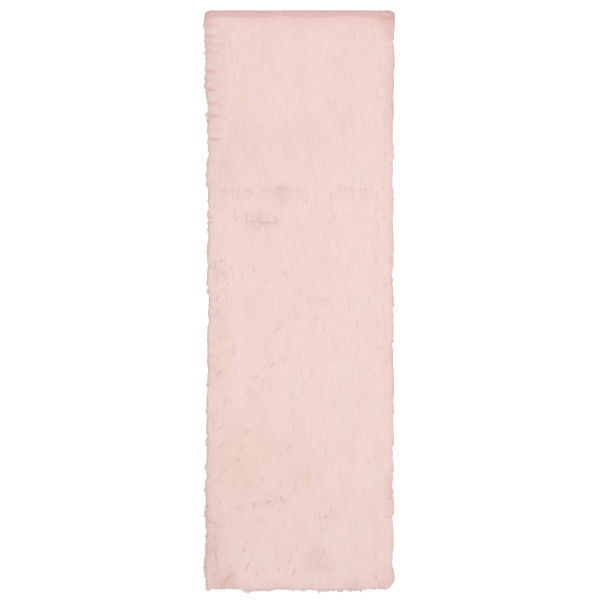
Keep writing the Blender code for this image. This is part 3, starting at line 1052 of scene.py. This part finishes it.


# %% [markdown]
# ## Locks that lie askew
# A few locks have been turned over or pushed aside. Painted shade makes them darker and pinker
# along their whole length, and they look like short dashes: upright ticks beside the partings,
# slanting ones at the lower left, and a few dark ones near the foot. The clear ones are placed
# one by one in a table, with their length, the way they turn in degrees, and how dark they are.
# Faint ones are sprinkled at random over the left of the foot half, in threes that lie side by
# side.

# %% Locks that lie askew
Askew = namedtuple("Askew", "across along length turn dark")
askew_table = (
    Askew(-0.171, 0.264, 0.026, turn=-3, dark=0.9),
    Askew(-0.132, 0.266, 0.030, turn=0, dark=0.6),
    Askew(-0.079, 0.260, 0.022, turn=6, dark=0.6),
    Askew(-0.208, 0.285, 0.022, turn=-10, dark=0.7),
    Askew(-0.203, 0.258, 0.018, turn=0, dark=0.9),
    Askew(-0.196, 0.345, 0.018, turn=-12, dark=0.6),
    Askew(-0.173, 0.347, 0.016, turn=8, dark=0.8),
    Askew(-0.158, 0.345, 0.018, turn=-18, dark=0.6),
    Askew(-0.120, 0.350, 0.018, turn=-5, dark=0.7),
    Askew(-0.102, 0.352, 0.018, turn=0, dark=0.5),
    Askew(-0.037, 0.354, 0.026, turn=6, dark=0.7),
    Askew(0.022, 0.311, 0.028, turn=8, dark=0.5),
    Askew(0.084, 0.266, 0.022, turn=-4, dark=0.4),
    Askew(0.097, 0.324, 0.026, turn=12, dark=0.8),
    Askew(0.107, 0.266, 0.022, turn=3, dark=0.4),
    Askew(0.162, 0.353, 0.020, turn=-6, dark=0.5),
    Askew(0.210, 0.352, 0.018, turn=20, dark=0.7),
    Askew(0.264, 0.355, 0.016, turn=-15, dark=0.6),
    Askew(-0.060, -0.630, 0.018, turn=30, dark=1.0),
    Askew(-0.050, -0.702, 0.018, turn=-15, dark=0.5),
    Askew(0.099, -0.672, 0.018, turn=10, dark=0.7),
    Askew(0.227, -0.678, 0.018, turn=0, dark=0.5),
    Askew(0.283, -0.633, 0.020, turn=84, dark=0.7),
    Askew(0.283, -0.692, 0.020, turn=86, dark=0.8),
    Askew(-0.260, -0.637, 0.034, turn=40, dark=0.7),
    Askew(-0.171, -0.772, 0.018, turn=-30, dark=0.7),
    Askew(-0.180, -0.800, 0.036, turn=-35, dark=1.0),
    Askew(-0.166, -0.846, 0.034, turn=-19, dark=0.9),
    Askew(-0.267, -0.820, 0.052, turn=8, dark=0.8),
    Askew(-0.227, -0.883, 0.040, turn=-42, dark=1.0),
    Askew(-0.237, -0.897, 0.030, turn=-40, dark=0.8),
    Askew(0.038, -0.787, 0.020, turn=0, dark=0.6),
    Askew(0.075, -0.803, 0.024, turn=-5, dark=0.7),
    Askew(-0.028, -0.813, 0.014, turn=0, dark=1.0),
    Askew(-0.034, -0.835, 0.013, turn=-10, dark=0.9),
    Askew(-0.067, -0.859, 0.024, turn=-5, dark=0.4),
    Askew(-0.019, -0.866, 0.032, turn=-27, dark=1.0),
    Askew(0.242, -0.883, 0.018, turn=-18, dark=1.0),
    Askew(0.253, -0.907, 0.020, turn=-30, dark=1.0),
)
SPRINKLED = 50  # bunches of three
THREE = [-0.006, 0, 0.006]  # how far apart the locks of a three lie
AFLOAT = ([0.0, 0.2, 0.75, 1.0], [-0.0012, 0.0012, 0.0012, -0.0008])  # sunk at both ends
ASKEW_SLIM, ASKEW_DARK_WIDER = 0.0009, 0.0007
# Askew locks carry painted shade: how dark and pink it is.
ASKEW_TIP, ASKEW_PINK, ASKEW_PINK_FROM = 0.45, 1.6, 0.6  # how dark and pink they are
print(len(askew_table), "askew locks are placed one by one")


# %% Helpers for askew locks
def sprinkled(bunches, chance):
    """Faint askew locks in threes that slant down to the left, thickest near the left side."""
    across = LEFT + 0.024 + 0.29 * chance.uniform(0, 1, bunches) ** 1.6
    along = chance.uniform(FOOT + 0.030, 0.100, bunches)
    turn = chance.normal(-34, 8, bunches)
    across, along, turn = (np.repeat(values, len(THREE)) for values in (across, along, turn))
    count = len(across)
    across = across + np.tile(THREE, bunches) + chance.normal(0, 0.001, count)
    along = along + chance.normal(0, 0.006, count)
    length = chance.uniform(0.012, 0.028, count)
    turn = turn + chance.normal(0, 4, count)
    dark = chance.uniform(0.00, 0.30, count)
    return np.stack([across, along, length, turn, dark], 1)


def lay_askew(rows, chance):
    """Locks laid straight on the surface, sunk at both ends, with painted shade along their whole length.
    """
    across, along, length, turn, dark = rows.T
    shares = RING_SHARES[4]
    heading = np.stack([np.sin(np.radians(turn)), -np.cos(np.radians(turn))], 1)
    reach = (shares - 0.5)[None, :] * length[:, None]
    x, y = across[:, None] + heading[:, :1] * reach, along[:, None] + heading[:, 1:] * reach
    normal = facing_at(x, y)
    lift = np.interp(shares, *AFLOAT)
    centre = np.stack([x, y, sample(hair_top, x, y)], -1) + normal * lift[None, :, None]
    half_width = ASKEW_SLIM + ASKEW_DARK_WIDER * dark
    corners, facing = lock_bodies(centre, normal, half_width, 0 * dark, lock_widths(shares))
    corners[:, :, 2] = np.maximum(corners[:, :, 2], LEAST_HEIGHT)
    memory = lock_memory(centre, owners(rows[:, :2], tufts), shares, chance)
    # Painted shade along the whole lock: held to the deep colour and made pinker.
    held = per_corner(ASKEW_TIP * (1 - dark)[:, None] + 0 * x)
    memory["along"] = np.minimum(memory["along"], held)
    memory["pink"] += per_corner(ASKEW_PINK * np.maximum(dark - ASKEW_PINK_FROM, 0)[:, None] + 0 * x)
    return corners, facing, memory


# %% [markdown]
# ## Growing all the locks
# Locks on the top have three stretches from root to tip. Those near the outline have four,
# because they bend over the edge.

# %% Grow all the locks
field = grow(field_roots, 3, chance)
rim = grow(rim_roots, 4, chance)
askew = lay_askew(np.concatenate([np.array(askew_table), sprinkled(SPRINKLED, chance)]), chance)
hanging = grow(hanging_roots(chance), 3, chance, hanging_paths, inner_top)
print(len(askew[0]), "locks lie askew and", len(hanging[0]), "hang to the floor")
print(len(field[0]), "locks on the top and", len(rim[0]), "at the rims")
print(len(field[0]) * len(lock_faces(3)) + len(rim[0]) * len(lock_faces(4)), "triangles")

# %% [markdown]
# ## One mesh for each stretch
# A single mesh with all the hair would be too heavy to handle, so the pile is kept in stretches
# from the head to the foot. They meet under the overlapping locks, so no seam shows.

# %% Stretches of pile
GROWN = {
    ("pile_upper", "pile_middle", "pile_lower"): field,
    ("rim_upper", "rim_lower"): rim,
    ("askew_locks",): askew,
    ("hanging_locks",): hanging,
}
piles = []
for names, (corners, facing, memory) in GROWN.items():
    order = np.argsort(-corners[:, 0, 1])
    for name, chosen in zip(names, np.array_split(order, len(names))):
        kept = {remembered: values[chosen] for remembered, values in memory.items()}
        pile = joined_locks(name, corners[chosen], facing[chosen], kept)
        piles.append(finish_piece(pile, "faux_fur"))
        print(name, len(chosen), "locks")

# %% [markdown]
# ## Helpers for the finishes
# A finish is a small tree of nodes. These helpers make the parts that are needed more than once:
# a matt shader, a colour that changes with a value, two colours multiplied, noise drawn out in
# one direction, and fine relief.

# %% Helpers for the finishes
Finish = namedtuple("Finish", "material nodes links shader")
WHITE = (1.0, 1.0, 1.0)


def set_inputs(node, values):
    """Sets a node's inputs by name and gives the node back."""
    for name, value in values.items():
        node.inputs[name].default_value = value
    return node


def new_finish(name, roughness, sheen):
    """A matt material with some sheen."""
    material = bpy.data.materials.new(name)
    material.use_nodes = True
    nodes, links = material.node_tree.nodes, material.node_tree.links
    matt = {"Roughness": roughness, "Sheen Weight": sheen}
    matt |= {"Sheen Roughness": 0.5, "Specular IOR Level": 0.25}
    return Finish(material, nodes, links, set_inputs(nodes["Principled BSDF"], matt))


def attribute(finish, name):
    """What the points of a mesh remember under a name."""
    node = finish.nodes.new("ShaderNodeAttribute")
    node.attribute_name = name
    return node.outputs["Fac"]


def shades(finish, value, stops):
    """A colour that follows a value through (place, colour) stops."""
    node = finish.nodes.new("ShaderNodeValToRGB")
    while len(node.color_ramp.elements) < len(stops):
        node.color_ramp.elements.new(0.5)
    for element, (place, colour) in zip(node.color_ramp.elements, stops):
        element.position = place
        element.color = (*colour, 1)
    finish.links.new(value, node.inputs["Fac"])
    return node.outputs["Color"]


def multiplied(finish, one, other):
    """Two colours multiplied together."""
    mix = finish.nodes.new("ShaderNodeMix")
    mix.data_type = "RGBA"
    mix.blend_type = "MULTIPLY"
    set_inputs(mix, {"Factor": 1})
    finish.links.new(one, mix.inputs["A"])
    finish.links.new(other, mix.inputs["B"])
    return mix.outputs["Result"]


def drawn_noise(finish, place, scale):
    """Noise with its own scale in each direction."""
    stretch = set_inputs(finish.nodes.new("ShaderNodeMapping"), {"Scale": scale})
    noise = set_inputs(finish.nodes.new("ShaderNodeTexNoise"), {"Scale": 1})
    finish.links.new(place, stretch.inputs["Vector"])
    finish.links.new(stretch.outputs["Vector"], noise.inputs["Vector"])
    return noise.outputs["Fac"]


def add_relief(finish, height, strength, distance):
    """Relief too fine for the mesh."""
    relief = {"Strength": strength, "Distance": distance}
    bump = set_inputs(finish.nodes.new("ShaderNodeBump"), relief)
    finish.links.new(height, bump.inputs["Height"])
    finish.links.new(bump.outputs["Normal"], finish.shader.inputs["Normal"])


# %% [markdown]
# ## The finish of the hair
# Acrylic hair is matt with a soft sheen. Deep in the pile it lies in shade, and that shade is
# painted into its colour: darker and more pink towards the roots, pale at the tips. So the colour
# follows each lock from root to tip, and in the painted shade band at the head end and on the
# askew locks it stays at the root's end. Every lock differs a little in tone, fine streaks run
# down it, and the soft patches tint it, the pink tint with painted shade.

# %% The finish of the hair
# Painted shade: the deep and half deep colours stand in for the shade of hair deep in the pile. The tip's
# colour is the hair's own.
DEEP_SHADE_PINK = (0.553, 0.375, 0.362)
HALF_SHADE_PINK = (0.598, 0.414, 0.396)
TIP_PINK = (0.620, 0.480, 0.459)
LOCK_TINT, STREAK_TINT = (0.962, 0.947, 0.943), (0.95, 0.94, 0.932)
# The pink tint is painted shade. The band at the head end, whose edge is set next, is painted shade too.
TONE_TINTS = {"pink": (0.93, 0.83, 0.83), "yellow": (1.0, 0.995, 0.955), "grey": (0.95, 0.95, 0.945)}
SHADE_BAND_EDGE = {"From Min": -0.006, "From Max": 0.004}  # how softly the band ends, in metres
STREAKS = (3.0, 1.2, 60.0)  # across a lock, along it, and from one lock to another


def strand_pattern(finish):
    """Fine streaks that run down each lock: noise squeezed across it and drawn out along it."""
    place = finish.nodes.new("ShaderNodeCombineXYZ")
    for socket, name in (("X", "across"), ("Y", "along"), ("Z", "shade")):
        finish.links.new(attribute(finish, name), place.inputs[socket])
    return drawn_noise(finish, place.outputs["Vector"], STREAKS)


def shaded_place_along(finish):
    """The place along a lock, held back to its root's painted shade in the band at the head end."""
    past = set_inputs(finish.nodes.new("ShaderNodeMapRange"), SHADE_BAND_EDGE)
    finish.links.new(attribute(finish, "past_shade_band"), past.inputs["Value"])
    lower = finish.nodes.new("ShaderNodeMath")
    lower.operation = "MINIMUM"
    finish.links.new(attribute(finish, "along"), lower.inputs[0])
    finish.links.new(past.outputs["Result"], lower.inputs[1])
    return lower.outputs["Value"]


hair = new_finish("combed_acrylic_hair", 0.85, 0.25)
# Painted shade: where the place along a lock is held low, it takes the deep, shaded colours.
colour = shades(hair, shaded_place_along(hair), [(0.0, DEEP_SHADE_PINK), (0.30, HALF_SHADE_PINK), (0.50, TIP_PINK)])
colour = multiplied(hair, colour, shades(hair, attribute(hair, "shade"), [(0.0, LOCK_TINT), (1.0, WHITE)]))
for name, tint in TONE_TINTS.items():
    tinted = shades(hair, attribute(hair, name), [(0.0, WHITE), (1.0, tint)])
    colour = multiplied(hair, colour, tinted)
strands = strand_pattern(hair)
colour = multiplied(hair, colour, shades(hair, strands, [(0.3, STREAK_TINT), (0.7, WHITE)]))
hair.links.new(colour, hair.shader.inputs["Base Color"])
add_relief(hair, strands, 0.25, 0.0005)
for pile in piles:
    pile.data.materials.append(hair.material)
print(hair.material.name, "is on", len(piles), "pieces")

# %% [markdown]
# ## The finish of the underfur and the cloth
# Both are short fibre, finely mottled. The underfur is streaked down the rug, and painted shade
# makes it darker and pinker below partings, in the clefts and by the head end. The cloth is a
# plain knit in a greyer pink, and everything else lies on it.

# %% The finish of the underfur and the cloth
UNDER_PINK = (0.61, 0.455, 0.435)
KNIT_PINK = (0.80, 0.66, 0.62)
MOTTLE = 0.86  # how dark the mottling is


def fibre_finish(name, colour, roughness, scale):
    """Short fibre, finely mottled and a little rough, and its colour's socket."""
    finish = new_finish(name, roughness, 0.2)
    place = finish.nodes.new("ShaderNodeTexCoord").outputs["Object"]
    mottle = drawn_noise(finish, place, scale)
    darker = tuple(MOTTLE * part for part in colour)
    mottled = shades(finish, mottle, [(0.3, darker), (0.7, colour)])
    finish.links.new(mottled, finish.shader.inputs["Base Color"])
    add_relief(finish, mottle, 0.4, 0.001)
    return finish, mottled


dense, mottled = fibre_finish("dense_underfur", WHITE, 0.95, (900, 120, 900))
# Painted shade: low values take the deep, shaded colours.
painted_shade = shades(dense, attribute(dense, "along"), [(0.0, DEEP_SHADE_PINK), (0.30, HALF_SHADE_PINK), (0.50, UNDER_PINK)])
dense.links.new(multiplied(dense, painted_shade, mottled), dense.shader.inputs["Base Color"])
underfur.data.materials.append(dense.material)
knit, _ = fibre_finish("knitted_ground", KNIT_PINK, 0.9, (600, 600, 600))
ground_cloth.data.materials.append(knit.material)
print("the cloth carries", 1 + len(piles), "pieces")

# %% [markdown]
# ## The floor
# The rug lies on a plain pale floor. It is a stage, not a part of the rug, so one wide flat
# face will do, just low enough that the cloth's underside doesn't flicker against it.

# %% The floor
FLOOR_HALF = 6  # metres from its middle to its edge
FLOOR_BELOW = 0.0005  # a hair's breadth under the rug, so that the two surfaces don't meet
bm = bmesh.new()
bmesh.ops.create_grid(bm, x_segments=1, y_segments=1, size=FLOOR_HALF)
for vert in bm.verts:
    vert.co.z = -FLOOR_BELOW
floor = mesh_piece("floor", bm, smooth_faces=False)
pale = new_finish("pale_floor", 0.9, 0.0)
set_inputs(pale.shader, {"Base Color": (0.93, 0.93, 0.93, 1)})
floor.data.materials.append(pale.material)
print("the floor is", 2 * FLOOR_HALF, "m wide")

# %% [markdown]
# ## Light and camera
# White light comes from all round, and a large soft lamp high above adds a little shape. The
# camera hangs straight above, and its long lens shows the rug with hardly any perspective.

# %% Light and camera
scene = bpy.context.scene
scene.view_settings.view_transform = "Standard"
world = bpy.data.worlds.new("studio")
world.use_nodes = True
set_inputs(world.node_tree.nodes["Background"], {"Color": (1, 1, 1, 1), "Strength": 0.85})
scene.world = world

softbox = bpy.data.lights.new("softbox", "AREA")
softbox.shape = "RECTANGLE"
softbox.size, softbox.size_y = 3.0, 3.4
softbox.energy = 138
lamp = bpy.data.objects.new("softbox", softbox)
lamp.location = (0.3, 0.25, 4.2)
lamp.rotation_euler = (Vector((0, 0, 0)) - lamp.location).to_track_quat("-Z", "Y").to_euler()
scene.collection.objects.link(lamp)

VIEW_SPAN = 1.925  # metres across the frame
camera_data = bpy.data.cameras.new("from_above")
camera_data.lens = 85
camera_data.sensor_width = 36
camera = bpy.data.objects.new("from_above", camera_data)
camera.location = (0, 0, VIEW_SPAN * camera_data.lens / camera_data.sensor_width)
scene.collection.objects.link(camera)
scene.camera = camera
print(f"the camera hangs {camera.location.z:.2f} m up")
